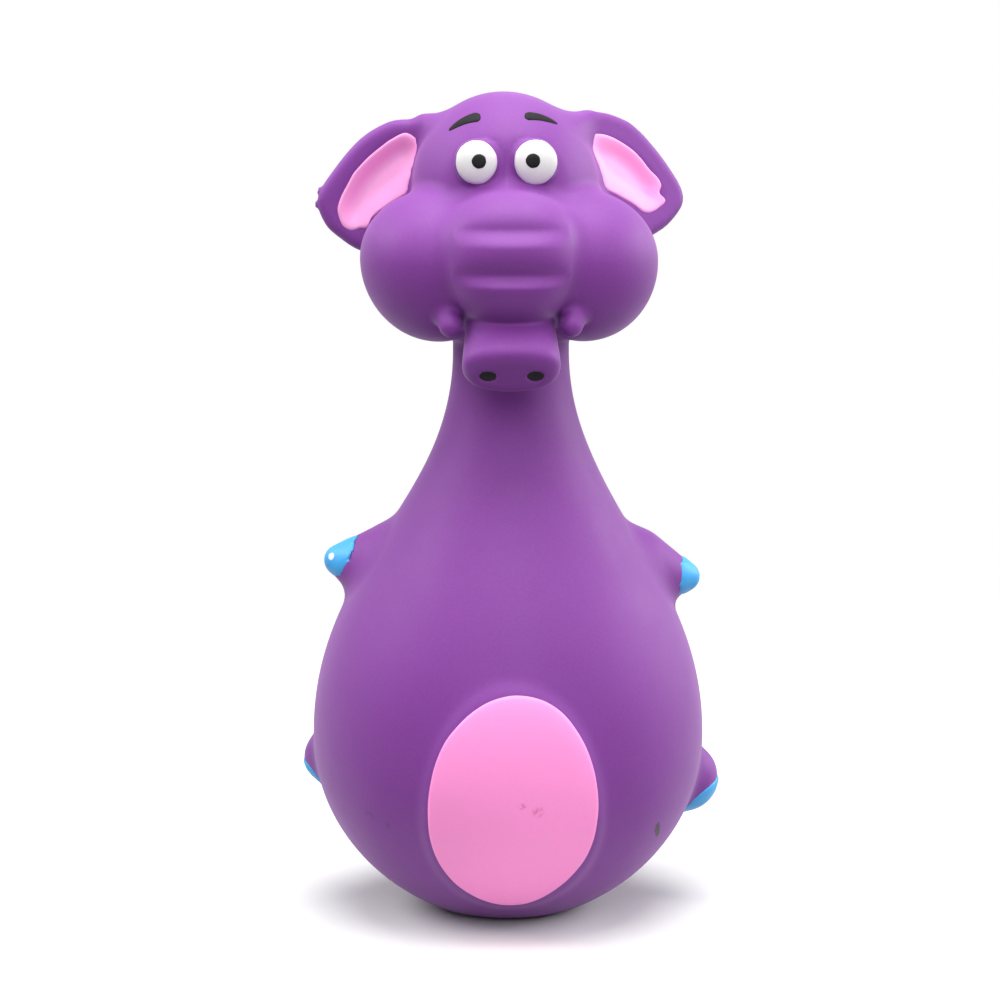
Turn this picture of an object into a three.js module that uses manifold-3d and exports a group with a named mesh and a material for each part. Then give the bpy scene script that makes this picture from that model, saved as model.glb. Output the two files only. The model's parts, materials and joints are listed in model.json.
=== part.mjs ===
// Squeaky latex dog toy: a pear-shaped elephant, hollow, with a press-in squeaker in its base.
// Millimetres. +Z is up, the toy faces -Y, and the origin is the middle of its base on the floor.
// Left and right are the toy's own, so its left side is at +X.

import * as THREE from 'three';
import { mergeVertices } from 'three/addons/utils/BufferGeometryUtils.js';
import Module from 'manifold-3d';

const wasm = await Module();
wasm.setup();

// Latex skin and paint
const wall = 2.4;
const floorThickness = 2.6;
const gap = 0.3;
const coat = 0.5;

// Pear-shaped body: radii at the base, belly and neck, and the pull of the curve between them
const baseRadius = 13.5;
const baseFlare = 7;
const baseRise = 2.2;
const bellyRadius = 40.2;
const bellyHeight = 37.2;
const bellyPullDown = 23.2;
const bellyPullUp = 34.7;
const neckRadius = 11.4;
const neckHeight = 117.1;
const neckPullDown = 30.2;
const neckTuck = 12.9;

// Raised oval on the belly and the pink patch painted on it
const patchHalfWidth = 17.4;
const patchMiddle = 27;
const patchTop = 53.5;
const patchBottom = 6.4;
const panelMargin = 1.2;
const panelRaise = 0.8;

// Neck bend: the head turns on a ball-shaped seam round a pivot below the narrow of the neck
const pivotDrop = 19.1;
const seamMargin = 0.5;

// Head: skull, cheeks and jaw, placed from the middle of the jaw above the narrow of the neck
const headRise = 19.9;
const skullRadius = 20;
const skullBack = 2;
const skullRise = 12.8;
const cheekRadii = [15.5, 17, 16.8];
const cheekRise = 14;
const cheekOffset = [14.6, -8, -0.5];
const jawRadii = [15, 17, 16];
const jawOffset = [0, -4, 0];

// Eyes as a share of the skull's radius up it, and brows down from its top: brow points are [across, down]
const eyeRadii = [4.1, 4.3, 4.4];
const eyeAcross = 5.9;
const eyeUpShare = 0.335;
const eyeSink = 1.5;
const pupilRadius = 1.45;
const pupilCross = 0.5;
const pupilLift = 0.3;
const browInner = [4.5, 4.4];
const browOuter = [10.8, 6.7];
const browArch = 1.2;
const browThickness = 1.7;

// Trunk: stacked folds and a tip that juts forward and down over the neck, placed from the skull's front
const topFoldRadii = [12.4, 11.8, 6.2];
const topFoldOffset = [0, 1.2, 9.4];
const middleFoldRadii = [13.4, 14, 9];
const middleFoldOffset = [0, 0, 3.8];
const lowFoldRadii = [12, 13.6, 7.8];
const lowFoldOffset = [0, 0.4, -4.2];
const tipHalfWidth = 9.6;
const tipHalfHeight = 6;
const tipRound = 1.5;
const tipLength = 19;
const tipOffset = [0, -10.2, -22];
const tipDroop = 41;
const nostrilSpacing = 9.4;
const nostrilDrop = 0.6;
const nostrilHalfWidth = 1.75;
const nostrilHalfHeight = 1.25;
const tuskOffset = [12.6, -21.2, -11.8];
const tuskRadius = 2.5;

// Ears: dished flaps that bend on a rounded root line down the side of the head
const earBack = 5;
const earRootHigh = 26.4;
const earRootLow = 6.8;
const earTopStandOff = 1.05;
const earBottomStandOff = 4.94;
const earRootInset = 1.5;
const earInner = 5;
const earThickness = 5.2;
const earRim = 1.8;
const earReach = 15.1;
const earOverTop = 1.6;
const earBelowRoot = 6.6;
const earTipAlong = 20;
const earTopSwell = 8.3;
const earTopPull = 13;
const earTipPull = 5;
const earLowSwell = 9;
const earForwardAngle = 12;
const earBackAngle = 25;
const dishAlong = 14.8;
const dishOut = 4.2;
const dishHalfLength = 10.8;
const dishHalfWidth = 7;
const dishDepth = 2.9;

// Stub arms and legs, with hooves painted down their ends for a length from the tip
const armRootRadius = 10;
const armTipRadius = 3;
const handHoofReach = 4.8;
const legRootRadius = 8;
const footHoofReach = 8;

// What differs between the two hand-finished sides: limb points are [out from the body, back, up]
const leftEarSweepAngle = 33;
const leftArmRoot = [-5.8, 3, 70.2];
const leftArmTip = [5.5, 4.5, 69];
const leftLegRoot = [-6.9, 5, 27.6];
const leftLegTip = [-1.1, 6.5, 25.8];
const leftLegTipRadius = 7.1;
const rightEarSweepAngle = 6;
const rightArmRoot = [-7.4, 3, 70.7];
const rightArmTip = [5.6, 4.5, 72.8];
const rightLegRoot = [-7.9, 6, 30.6];
const rightLegTip = [-2, 7.5, 30];
const rightLegTipRadius = 5.7;
const sides = [
  {
    name: 'left', sign: 1, earSweep: leftEarSweepAngle,
    armRoot: leftArmRoot, armTip: leftArmTip,
    legRoot: leftLegRoot, legTip: leftLegTip, legTipRadius: leftLegTipRadius,
  },
  {
    name: 'right', sign: -1, earSweep: rightEarSweepAngle,
    armRoot: rightArmRoot, armTip: rightArmTip,
    legRoot: rightLegRoot, legTip: rightLegTip, legTipRadius: rightLegTipRadius,
  },
];

// Squeaker: a flanged housing that grips the edge of the base hole, and a reed between two halves
const flangeRadius = 8.6;
const flangeThickness = 0.9;
const flangeRecess = 0.2;
const gripRadius = 5.8;
const innerFlangeRadius = 7.4;
const innerFlangeThickness = 1;
const barrelRadius = 5.6;
const barrelWall = 1.4;
const barrelTop = 13;
const airHoleRadius = 2;
const sealThickness = 1;
const channelWidth = 2.4;
const channelDepth = 1;
const reedThickness = 0.4;
const reedWidth = 4.8;
const reedClampLength = 1.5;
const wedgeLength = 4.7;

// Facets: steps round a turning, a large ball and a small one, and along curves
const roundSteps = 32;
const ballSteps = 20;
const smallSteps = 14;
const ringsPerStep = 0.6;
const pearSteps = 8;
const arcSteps = 4;
const fineCurve = 10;
const plainCurve = 7;
const smallCurve = 5;
const bevelSteps = 2;
const weldDistance = 1e-4;
const overcut = 1;

// Places that follow from the sizes above
const neckTop = neckHeight + neckTuck;
const neckPivot = neckHeight - pivotDrop;
const headHeight = neckHeight + headRise;
const skullTop = skullRise + skullRadius;
const skullFront = skullBack - skullRadius;

// Finishes
function finish(color, roughness) {
  return new THREE.MeshStandardMaterial({ color, roughness, metalness: 0 });
}
const purpleLatex = finish(0x8f4fae, 0.6);
const pinkPaint = finish(0xff9ede, 0.55);
const whitePaint = finish(0xf7f5f2, 0.4);
const blackPaint = finish(0x17131a, 0.45);
const bluePaint = finish(0x3aa8ec, 0.5);
const squeakerPlastic = finish(0xe9e7e0, 0.4);
const reedFilm = finish(0xd8d3c4, 0.35);

// Solids: a closed geometry becomes a solid that can be joined and cut
function solidOf(geometry, placement = new THREE.Matrix4()) {
  const bare = geometry.clone().applyMatrix4(placement);
  bare.deleteAttribute('normal');
  bare.deleteAttribute('uv');
  const merged = mergeVertices(bare, weldDistance);
  const position = merged.attributes.position;
  const index = merged.index.array;
  const corner = [new THREE.Vector3(), new THREE.Vector3(), new THREE.Vector3()];
  const triangles = [];
  let volume = 0;
  for (let i = 0; i < index.length; i += 3) {
    const [a, b, c] = [index[i], index[i + 1], index[i + 2]];
    if (a === b || b === c || c === a) continue;
    triangles.push([a, b, c]);
    [a, b, c].forEach((vertex, k) => corner[k].fromBufferAttribute(position, vertex));
    volume += corner[0].dot(corner[1].cross(corner[2]));
  }
  const outward = volume > 0 ? triangles : triangles.map(([a, b, c]) => [a, c, b]);
  return new wasm.Manifold(new wasm.Mesh({
    numProp: 3,
    vertProperties: new Float32Array(position.array),
    triVerts: new Uint32Array(outward.flat()),
  }));
}

function geometryOf(solid) {
  const { vertProperties, triVerts } = solid.getMesh();
  const geometry = new THREE.BufferGeometry();
  geometry.setAttribute('position', new THREE.BufferAttribute(vertProperties, 3));
  geometry.setIndex(new THREE.BufferAttribute(triVerts, 1));
  geometry.computeVertexNormals();
  return geometry;
}

function joined(solids) {
  return solids.reduce((whole, solid) => whole.add(solid));
}

function mirrored(sign) {
  return new THREE.Matrix4().makeScale(sign, 1, 1);
}

function ball(radii, [x, y, z], steps = ballSteps) {
  const unit = new THREE.SphereGeometry(1, steps, Math.round(steps * ringsPerStep));
  return unit.rotateX(Math.PI / 2).scale(...radii).translate(x, y, z);
}

function ellipsoid(radii, centre, steps) {
  return solidOf(ball(radii, centre, steps));
}

function grown(radii, amount) {
  return radii.map((radius) => radius + amount);
}

// How far an ellipsoid reaches along one axis at distances along the others, each [distance, radius]
function reachAt(radius, ...others) {
  const spent = others.reduce((sum, [distance, across]) => sum + (distance / across) ** 2, 0);
  return radius * Math.sqrt(1 - spent);
}

// Turned shapes: points are [radius, height] up the Z axis
function turned(points, steps = roundSteps) {
  const outline = points.map(([radius, height]) => new THREE.Vector2(radius, height));
  return new THREE.LatheGeometry(outline, steps).rotateX(Math.PI / 2);
}

function cylinder(radius, bottom, top) {
  return solidOf(turned([[0, bottom], [radius, bottom], [radius, top], [0, top]]));
}

// A shape drawn as seen from the front, [x, z], carried forwards from a depth inside the toy
function frontPrism(shape, curveSegments, from = 0) {
  const prism = new THREE.ExtrudeGeometry(shape, {
    depth: 2 * bellyRadius, bevelEnabled: false, curveSegments,
  });
  return solidOf(prism.rotateX(Math.PI / 2).translate(0, from, 0));
}

// The pear outline, offset square to itself
function pearOutline(offset, lowest) {
  const at = (radius, height) => new THREE.Vector2(radius, height);
  const lower = new THREE.CubicBezierCurve(
    at(baseRadius, 0), at(baseRadius + baseFlare, baseRise),
    at(bellyRadius, bellyHeight - bellyPullDown), at(bellyRadius, bellyHeight));
  const upper = new THREE.CubicBezierCurve(
    at(bellyRadius, bellyHeight), at(bellyRadius, bellyHeight + bellyPullUp),
    at(neckRadius, neckHeight - neckPullDown), at(neckRadius, neckHeight));
  const points = [];
  for (const curve of [lower, upper]) {
    for (let i = curve === lower ? 0 : 1; i <= pearSteps; i += 1) {
      const point = curve.getPoint(i / pearSteps);
      const along = curve.getTangent(i / pearSteps);
      points.push([point.x + along.y * offset, Math.max(point.y - along.x * offset, lowest)]);
    }
  }
  points.push([neckRadius + offset, neckTop]);
  return points;
}

function bodyRadius(height) {
  const outline = pearOutline(0, 0);
  const above = outline.findIndex((point) => point[1] >= height);
  const [[r0, h0], [r1, h1]] = [outline[above - 1], outline[above]];
  return THREE.MathUtils.mapLinear(height, h0, h1, r0, r1);
}

function bodyForm(offset, lowest = 0, steps = roundSteps) {
  const outline = pearOutline(offset, lowest);
  return solidOf(turned([[0, lowest], ...outline, [0, neckTop]], steps));
}

function bodyHollow() {
  return bodyForm(-wall, floorThickness, ballSteps);
}

function neckForm(offset) {
  const outline = pearOutline(offset, 0).filter(([, height]) => height > neckPivot);
  return solidOf(turned([[0, neckPivot], [outline[0][0], neckPivot], ...outline, [0, neckTop]]));
}

// The ball-shaped seam clears the neck at the pivot and crosses it higher up
function seamBall(clearance) {
  const radius = bodyRadius(neckPivot) + seamMargin + clearance;
  return ellipsoid([radius, radius, radius], [0, 0, neckPivot], roundSteps);
}

function atHead([x, y, z], sign = 1) {
  return [sign * x, y, headHeight + z];
}

function atFace([x, y, z]) {
  return atHead([x, skullFront + y, z]);
}

// A cheek hangs: it is flatter above its middle than below
function cheek(offset, sign, steps) {
  const round = ball(grown(cheekRadii, offset), [0, 0, 0], steps);
  const position = round.attributes.position;
  const flatter = (cheekRise + offset) / (cheekRadii[2] + offset);
  for (let i = 0; i < position.count; i += 1) {
    if (position.getZ(i) > 0) position.setZ(i, flatter * position.getZ(i));
  }
  return solidOf(round.translate(...atHead(cheekOffset, sign)));
}

// Skull, cheeks and jaw as one swelling form
function headForm(offset, steps) {
  const skullRadii = [skullRadius, skullRadius, skullRadius];
  const skull = ellipsoid(grown(skullRadii, offset), atHead([0, skullBack, skullRise]), steps);
  const jaw = ellipsoid(grown(jawRadii, offset), atHead(jawOffset), steps);
  const cheeks = sides.map(({ sign }) => cheek(offset, sign, steps));
  return joined([skull, jaw, ...cheeks]);
}

// Egg outline of the belly patch, widest low down
function eggPrism(margin) {
  const half = patchHalfWidth + margin;
  const rise = patchTop - patchMiddle + margin;
  const fall = patchMiddle - patchBottom + margin;
  const egg = new THREE.Shape();
  egg.absellipse(0, patchMiddle, half, rise, 0, Math.PI);
  egg.absellipse(0, patchMiddle, half, fall, Math.PI, 2 * Math.PI);
  return frontPrism(egg, fineCurve);
}

// Heights in the squeaker, from the floor up
const flangeTop = flangeRecess + flangeThickness;
const innerFlangeBottom = floorThickness + gap;
const innerFlangeTop = innerFlangeBottom + innerFlangeThickness;
const boreFloor = flangeTop + sealThickness;
const bedBottom = boreFloor + gap;
const bedTop = barrelTop - gap;
const wedgeBottom = bedTop - wedgeLength;

// Body: hollow skin with a squeaker hole in its base, an oval belly opening and an open neck
function bodySkin() {
  const aboveSeam = cylinder(bellyRadius, neckPivot, neckTop + overcut).subtract(seamBall(0));
  return bodyForm(0)
    .subtract(bodyHollow())
    .subtract(aboveSeam)
    .subtract(eggPrism(panelMargin + gap))
    .subtract(cylinder(gripRadius + gap, -overcut, floorThickness + overcut))
    .subtract(cylinder(flangeRadius + gap, -overcut, flangeTop + gap));
}

function bellyPanel() {
  return bodyForm(panelRaise).subtract(bodyHollow()).intersect(eggPrism(panelMargin));
}

function bellyPatch() {
  const under = panelRaise + gap;
  return bodyForm(under + coat).subtract(bodyForm(under)).intersect(eggPrism(0));
}

// Limbs: a ball at the root tapering to a ball at the tip, turned up the Z axis and laid root to tip
function besideBody([out, back, height]) {
  return new THREE.Vector3(bodyRadius(height) + out, back, height);
}

function limbPlacement(root, tip, sign) {
  const along = tip.clone().sub(root).normalize();
  const turn = new THREE.Quaternion().setFromUnitVectors(new THREE.Vector3(0, 0, 1), along);
  const placed = new THREE.Matrix4().makeRotationFromQuaternion(turn).setPosition(root);
  return mirrored(sign).multiply(placed);
}

// An arc in the turned outline, by angle from the tip
function arcPoints(radius, height, from, to) {
  return Array.from({ length: arcSteps + 1 }, (_, i) => {
    const angle = THREE.MathUtils.lerp(from, to, i / arcSteps);
    return [radius * Math.sin(angle), height + radius * Math.cos(angle)];
  });
}

// Where the balls' outlines meet the taper between them, as an angle from the tip
function shoulderAngle(root, tip, rootRadius, tipRadius) {
  return Math.acos((rootRadius - tipRadius) / root.distanceTo(tip));
}

function limb(root, tip, rootRadius, tipRadius, sign) {
  const length = root.distanceTo(tip);
  const shoulder = shoulderAngle(root, tip, rootRadius, tipRadius);
  const outline = [
    ...arcPoints(rootRadius, 0, Math.PI, shoulder),
    ...arcPoints(tipRadius, length, shoulder, 0),
  ];
  return solidOf(turned(outline, smallSteps), limbPlacement(root, tip, sign)).subtract(bodyForm(gap));
}

// A hoof is the coat of paint over the end of a limb, round its tip and on down its taper
function hoof(root, tip, rootRadius, tipRadius, reach, sign) {
  const length = root.distanceTo(tip);
  const shoulder = shoulderAngle(root, tip, rootRadius, tipRadius);
  const turn = Math.min(reach / tipRadius, shoulder);
  const run = reach - turn * tipRadius;
  const layer = (offset) => {
    const round = arcPoints(tipRadius + offset, length, 0, turn);
    const [radius, height] = round.at(-1);
    const taper = run > gap ? [[radius + run * Math.cos(turn), height - run * Math.sin(turn)]] : [];
    return [...round, ...taper];
  };
  const shell = turned([...layer(gap), ...layer(gap + coat).reverse()], smallSteps);
  return solidOf(shell, limbPlacement(root, tip, sign)).subtract(bodyForm(gap));
}

// Eyes swell from the front of the skull
function eyeCentre(sign) {
  const up = eyeUpShare * skullRadius;
  const front = reachAt(skullRadius, [eyeAcross, skullRadius], [up, skullRadius]);
  return atHead([eyeAcross, skullBack - front + eyeSink, skullRise + up], sign);
}

function eyeDome(sign, offset) {
  return ellipsoid(grown(eyeRadii, offset), eyeCentre(sign), smallSteps);
}

function tusk(sign, offset) {
  const radius = tuskRadius + offset;
  return ellipsoid([radius, radius, radius], atHead(tuskOffset, sign), smallSteps);
}

// Head: hollow, open into the neck, with domes for the eyes, small tusks and seats for the ears
function headSkin() {
  const domes = sides.map(({ sign }) => eyeDome(sign, 0));
  const tusks = sides.map(({ sign }) => tusk(sign, 0));
  const seats = sides.map((side) => earRootBar(side, gap));
  return joined([headForm(0), neckForm(0), ...domes, ...tusks])
    .subtract(headForm(-wall, smallSteps))
    .subtract(neckForm(-wall))
    .subtract(seamBall(gap))
    .subtract(joined(seats));
}

function eyeWhite(sign) {
  return eyeDome(sign, gap + coat).subtract(eyeDome(sign, gap)).subtract(headForm(gap));
}

function pupil(sign) {
  const under = gap + coat + gap;
  const [x, y, z] = eyeCentre(sign);
  const disc = new THREE.Shape();
  disc.absarc(x - sign * pupilCross, z + pupilLift, pupilRadius, 0, 2 * Math.PI);
  const front = frontPrism(disc, smallCurve, y);
  return eyeDome(sign, under + coat).subtract(eyeDome(sign, under)).intersect(front);
}

// A painted brow, thick at its inner end and pointed at its outer one
function brow(sign) {
  const top = headHeight + skullTop;
  const [innerX, innerZ] = [browInner[0], top - browInner[1]];
  const [outerX, outerZ] = [browOuter[0], top - browOuter[1]];
  const middleX = (innerX + outerX) / 2;
  const middleZ = Math.max(innerZ, outerZ) + browArch;
  const half = browThickness / 2;
  const low = innerZ - browThickness;
  const outline = new THREE.Shape();
  outline.moveTo(sign * outerX, outerZ);
  outline.quadraticCurveTo(sign * middleX, middleZ, sign * innerX, innerZ);
  outline.quadraticCurveTo(sign * (innerX - half), low, sign * (innerX + half), low);
  outline.quadraticCurveTo(sign * middleX, middleZ - browThickness, sign * outerX, outerZ);
  return headForm(gap + coat).subtract(headForm(gap)).intersect(frontPrism(outline, smallCurve));
}

// Trunk tip frame: +Z runs out of the end face, +Y up across it
function tipPlacement() {
  const droop = THREE.MathUtils.degToRad(tipDroop);
  const forward = new THREE.Vector3(0, -Math.cos(droop), -Math.sin(droop));
  const upward = new THREE.Vector3(0, -Math.sin(droop), Math.cos(droop));
  const across = new THREE.Vector3().crossVectors(upward, forward);
  return new THREE.Matrix4().makeBasis(across, upward, forward).setPosition(...atFace(tipOffset));
}

function trunkTip() {
  const section = new THREE.Shape();
  section.absellipse(0, 0, tipHalfWidth - tipRound, tipHalfHeight - tipRound, 0, 2 * Math.PI);
  const block = new THREE.ExtrudeGeometry(section, {
    depth: tipLength - 2 * tipRound,
    bevelThickness: tipRound,
    bevelSize: tipRound,
    bevelSegments: bevelSteps,
    curveSegments: plainCurve,
  });
  return solidOf(block.translate(0, 0, tipRound - tipLength), tipPlacement());
}

function trunk() {
  const rolls = [
    ellipsoid(topFoldRadii, atFace(topFoldOffset)),
    ellipsoid(middleFoldRadii, atFace(middleFoldOffset)),
    ellipsoid(lowFoldRadii, atFace(lowFoldOffset)),
  ];
  const tusks = sides.map(({ sign }) => tusk(sign, gap));
  const eyes = sides.map(({ sign }) => eyeDome(sign, gap + coat + gap));
  return joined([...rolls, trunkTip()])
    .subtract(headForm(gap))
    .subtract(neckForm(gap))
    .subtract(joined([...tusks, ...eyes]));
}

function nostril(sign) {
  const oval = new THREE.Shape();
  const middle = (sign * nostrilSpacing) / 2;
  oval.absellipse(middle, -nostrilDrop, nostrilHalfWidth, nostrilHalfHeight, 0, 2 * Math.PI);
  const disc = new THREE.ExtrudeGeometry(oval, {
    depth: coat, bevelEnabled: false, curveSegments: smallCurve,
  });
  return solidOf(disc.translate(0, 0, gap), tipPlacement());
}

// The ear's root line stands off the skull at its top and the cheek at its bottom
function earRootTop() {
  const [back, up] = [earBack - skullBack, earRootHigh - skullRise];
  const side = reachAt(skullRadius, [back, skullRadius], [up, skullRadius]);
  return new THREE.Vector3(...atHead([side + earTopStandOff, earBack, earRootHigh]));
}

function earRootBottom() {
  const [cheekX, cheekY, cheekZ] = cheekOffset;
  const [across, deep] = cheekRadii;
  const side = cheekX + reachAt(across, [earBack - cheekY, deep], [earRootLow - cheekZ, cheekRise]);
  return new THREE.Vector3(...atHead([side + earBottomStandOff, earBack, earRootLow]));
}

function earRootLength() {
  return earRootTop().distanceTo(earRootBottom());
}

// Ear frame: X down the root line, Y out along the ear, Z forwards, swept back about the root line
function earMatrix({ sign, earSweep }, bend = 0) {
  const top = earRootTop();
  const along = earRootBottom().sub(top).normalize();
  const forward = new THREE.Vector3(0, -1, 0);
  const outward = new THREE.Vector3().crossVectors(forward, along);
  const sweep = new THREE.Matrix4().makeRotationX(THREE.MathUtils.degToRad(-earSweep - bend));
  const placed = new THREE.Matrix4().makeBasis(along, outward, forward).setPosition(top);
  return mirrored(sign).multiply(placed).multiply(sweep);
}

function earRootBar(side, offset) {
  const radius = earThickness / 2 + offset;
  const start = earRootInset - offset;
  const end = earRootLength() - earRootInset + offset;
  const bar = turned([[0, start], [radius, start], [radius, end], [0, end]], smallSteps);
  return solidOf(bar.rotateY(Math.PI / 2), earMatrix(side));
}

// The head as the ear meets it through its whole bend, so that the ear is cut clear of it
function headAroundEar(side) {
  const head = joined([headForm(gap), neckForm(gap)]).subtract(earRootBar(side, gap / 2));
  const rest = earMatrix(side);
  const turns = [-earForwardAngle, 0, earBackAngle / 2, earBackAngle];
  return joined(turns.map((bend) => {
    const turn = earMatrix(side, bend).multiply(rest.clone().invert());
    return solidOf(geometryOf(head), turn.invert());
  }));
}

function dishForm(side, inset) {
  const radii = grown([dishHalfLength, dishHalfWidth, dishDepth], -inset);
  return solidOf(ball(radii, [dishAlong, dishOut, earThickness / 2]), earMatrix(side));
}

// The flap runs in past its root line as far as the head lets it
function earFlap(side) {
  const low = earRootLength() + earBelowRoot;
  const flap = new THREE.Shape();
  flap.moveTo(-earOverTop, 0);
  flap.bezierCurveTo(-earOverTop, earTopSwell, earTipAlong - earTopPull, earReach, earTipAlong, earReach);
  flap.bezierCurveTo(earTipAlong + earTipPull, earReach, low, earLowSwell, low, 0);
  flap.lineTo(earRootLength(), -earInner);
  flap.lineTo(earRootInset, -earInner);
  flap.closePath();
  const leaf = new THREE.ExtrudeGeometry(flap, {
    depth: earThickness - 2 * earRim,
    bevelThickness: earRim,
    bevelSize: earRim,
    bevelOffset: -earRim,
    bevelSegments: bevelSteps,
    curveSegments: plainCurve,
  });
  return solidOf(leaf.translate(0, 0, earRim - earThickness / 2), earMatrix(side));
}

function ear(side, around) {
  return earFlap(side).add(earRootBar(side, 0)).subtract(dishForm(side, 0)).subtract(around);
}

// Everything in front of the ear's face, which keeps the lining down in its dish
function beforeEar(side) {
  const size = 2 * (dishAlong + dishHalfLength);
  const block = new THREE.BoxGeometry(size, size, size);
  return solidOf(block.translate(0, 0, (size + earThickness) / 2 - gap), earMatrix(side));
}

function earLining(side, around) {
  return dishForm(side, gap)
    .subtract(dishForm(side, gap + coat))
    .subtract(beforeEar(side))
    .subtract(around);
}

// Squeaker
const barrelBore = barrelRadius - barrelWall;
const plugRadius = barrelBore - gap;
const reedSlot = reedThickness / 2 + gap;

function squeakerHousing() {
  const outline = [
    [airHoleRadius, flangeRecess], [flangeRadius, flangeRecess], [flangeRadius, flangeTop],
    [gripRadius, flangeTop], [gripRadius, innerFlangeBottom],
    [innerFlangeRadius, innerFlangeBottom], [innerFlangeRadius, innerFlangeTop],
    [barrelRadius, innerFlangeTop], [barrelRadius, barrelTop], [barrelBore, barrelTop],
    [barrelBore, boreFloor], [airHoleRadius, boreFloor], [airHoleRadius, flangeRecess],
  ];
  return solidOf(turned(outline, ballSteps));
}

// Half of a round plug, cut flat beside the reed: facing is 1 behind the reed and -1 in front of it
function halfPlug(facing, bottom) {
  const dip = Math.asin(reedSlot / plugRadius);
  const section = new THREE.Shape();
  section.absarc(0, 0, plugRadius, dip, Math.PI - dip);
  section.closePath();
  const half = new THREE.ExtrudeGeometry(section, {
    depth: bedTop - bottom, bevelEnabled: false, curveSegments: plainCurve,
  });
  half.rotateZ(facing > 0 ? 0 : Math.PI);
  return solidOf(half.translate(0, 0, bottom));
}

// The bed has an air channel down its flat face, open at the bottom, which the reed lies over
function reedBed() {
  const height = 2 * (wedgeBottom - channelDepth - bedBottom);
  const channel = new THREE.BoxGeometry(channelWidth, 2 * channelDepth, height);
  return halfPlug(1, bedBottom).subtract(solidOf(channel.translate(0, reedSlot, bedBottom)));
}

function reed() {
  const bottom = bedBottom + gap;
  const top = wedgeBottom + reedClampLength;
  const strip = new THREE.BoxGeometry(reedWidth, reedThickness, top - bottom);
  return solidOf(strip.translate(0, 0, (top + bottom) / 2));
}

// The assembly
const group = new THREE.Group();

function addPart(name, solid, material) {
  const mesh = new THREE.Mesh(geometryOf(solid), material);
  mesh.name = name;
  group.add(mesh);
}

addPart('body_skin', bodySkin(), purpleLatex);
addPart('belly_panel', bellyPanel(), purpleLatex);
addPart('belly_patch', bellyPatch(), pinkPaint);
addPart('head_skin', headSkin(), purpleLatex);
addPart('trunk', trunk(), purpleLatex);
addPart('squeaker_housing', squeakerHousing(), squeakerPlastic);
addPart('reed_bed', reedBed(), squeakerPlastic);
addPart('reed_wedge', halfPlug(-1, wedgeBottom), squeakerPlastic);
addPart('reed', reed(), reedFilm);

for (const side of sides) {
  const { name, sign, legTipRadius } = side;
  const [armRoot, armTip] = [besideBody(side.armRoot), besideBody(side.armTip)];
  const [legRoot, legTip] = [besideBody(side.legRoot), besideBody(side.legTip)];
  const around = headAroundEar(side);
  addPart(`arm_${name}`, limb(armRoot, armTip, armRootRadius, armTipRadius, sign), purpleLatex);
  addPart(`hand_hoof_${name}`,
    hoof(armRoot, armTip, armRootRadius, armTipRadius, handHoofReach, sign), bluePaint);
  addPart(`leg_${name}`, limb(legRoot, legTip, legRootRadius, legTipRadius, sign), purpleLatex);
  addPart(`foot_hoof_${name}`,
    hoof(legRoot, legTip, legRootRadius, legTipRadius, footHoofReach, sign), bluePaint);
  addPart(`ear_${name}`, ear(side, around), purpleLatex);
  addPart(`ear_lining_${name}`, earLining(side, around), pinkPaint);
  addPart(`eye_white_${name}`, eyeWhite(sign), whitePaint);
  addPart(`pupil_${name}`, pupil(sign), blackPaint);
  addPart(`brow_${name}`, brow(sign), blackPaint);
  addPart(`nostril_${name}`, nostril(sign), blackPaint);
}

export default group;
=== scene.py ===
"""Looks of the squeaky latex dog toy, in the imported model's frame.

The skin is sculpted as one smooth form, a signed distance in millimetres, turned into a mesh and
parted where it bends: body, head and two ears. The paint lies on it in thin pieces of its own.
"""

import json
import math

import bmesh
import bpy
import numpy as np
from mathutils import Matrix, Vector
from mathutils.bvhtree import BVHTree


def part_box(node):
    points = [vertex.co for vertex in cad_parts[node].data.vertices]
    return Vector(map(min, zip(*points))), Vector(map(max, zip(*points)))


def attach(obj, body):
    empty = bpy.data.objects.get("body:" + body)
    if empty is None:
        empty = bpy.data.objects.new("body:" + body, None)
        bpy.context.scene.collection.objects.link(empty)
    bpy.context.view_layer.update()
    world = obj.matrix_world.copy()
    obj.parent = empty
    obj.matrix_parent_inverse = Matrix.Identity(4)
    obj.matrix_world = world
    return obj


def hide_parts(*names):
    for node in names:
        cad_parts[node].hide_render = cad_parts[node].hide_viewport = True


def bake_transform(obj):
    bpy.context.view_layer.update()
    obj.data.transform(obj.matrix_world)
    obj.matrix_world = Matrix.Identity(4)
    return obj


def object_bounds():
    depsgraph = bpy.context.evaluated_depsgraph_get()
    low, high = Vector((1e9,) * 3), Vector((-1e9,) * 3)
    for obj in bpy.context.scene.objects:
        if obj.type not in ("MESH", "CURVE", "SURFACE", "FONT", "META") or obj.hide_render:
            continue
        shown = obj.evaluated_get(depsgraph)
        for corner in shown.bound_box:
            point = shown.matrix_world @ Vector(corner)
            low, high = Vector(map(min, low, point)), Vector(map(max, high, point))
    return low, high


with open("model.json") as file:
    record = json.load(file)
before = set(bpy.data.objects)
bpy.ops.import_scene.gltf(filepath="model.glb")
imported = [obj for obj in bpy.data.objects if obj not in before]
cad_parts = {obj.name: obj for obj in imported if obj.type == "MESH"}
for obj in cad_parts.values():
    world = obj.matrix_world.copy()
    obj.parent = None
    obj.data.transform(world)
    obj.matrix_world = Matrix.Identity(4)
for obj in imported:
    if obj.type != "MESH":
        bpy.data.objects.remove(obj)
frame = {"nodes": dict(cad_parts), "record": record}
cad_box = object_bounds()

# Units and the joints that the skin bends at
MM = 0.001
SIDES = {"left": 1, "right": -1}
JOINTS = {joint["name"]: joint for joint in frame["record"]["behaviour"]["joints"]}

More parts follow.
